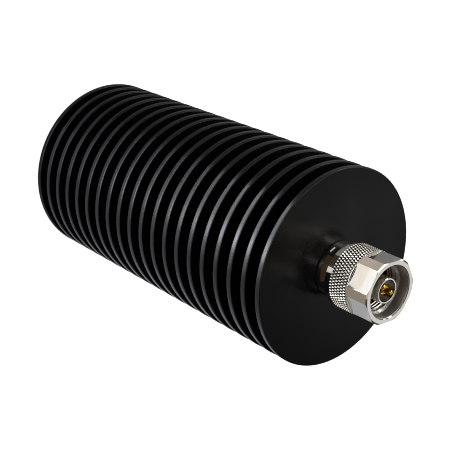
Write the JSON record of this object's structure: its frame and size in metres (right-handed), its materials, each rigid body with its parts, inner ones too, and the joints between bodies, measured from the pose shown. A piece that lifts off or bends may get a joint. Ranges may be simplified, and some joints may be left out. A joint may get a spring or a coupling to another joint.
{
  "type": "rf dummy load",
  "caption": "Finned cylindrical coaxial termination that turns radio-frequency power into heat, with a type N plug and spinning coupling nut on its front disc.",
  "frame": {"origin": "centre of the flat rear face, on which the part stands", "axes": "+Z along the axis from the rear disc to the plug"},
  "size_m": [0.064, 0.064, 0.1438],
  "materials": {
    "black_anodised": "turned and black anodised, satin",
    "nickel": "turned brass, bright nickel plate",
    "silver_plate": "turned brass, silver-coloured plate",
    "gold_plate": "gold plate",
    "ptfe": "turned ptfe",
    "silicone": "moulded silicone",
    "spring_bronze": "bare spring bronze",
    "bare_aluminium": "as turned",
    "plated_copper": "nickel-plated copper",
    "ceramic": "sintered, matt",
    "steel": "zinc-plated steel"
  },
  "bodies": {
    "load_body": {"finned_heatsink": "black_anodised", "connector_body": "nickel", "outer_contact": "silver_plate", "centre_contact": "gold_plate", "front_insulator": "ptfe", "rear_insulator": "ptfe", "sealing_gasket": "silicone", "retaining_ring": "spring_bronze", "resistor_carrier": "bare_aluminium", "resistor_flange": "plated_copper", "resistor_chip": "ceramic", "resistor_lid": "ceramic", "resistor_tab": "silver_plate", "flange_screw": "steel", "screw_washer": "steel"},
    "nut": {"coupling_nut": "nickel"}
  },
  "joints": [
    {"name": "nut_spin", "type": "hinge", "parent": "load_body", "child": "nut", "pos_m": [0, 0, 0.1262], "axis": [0, 0, 1], "continuous": true}
  ]
}
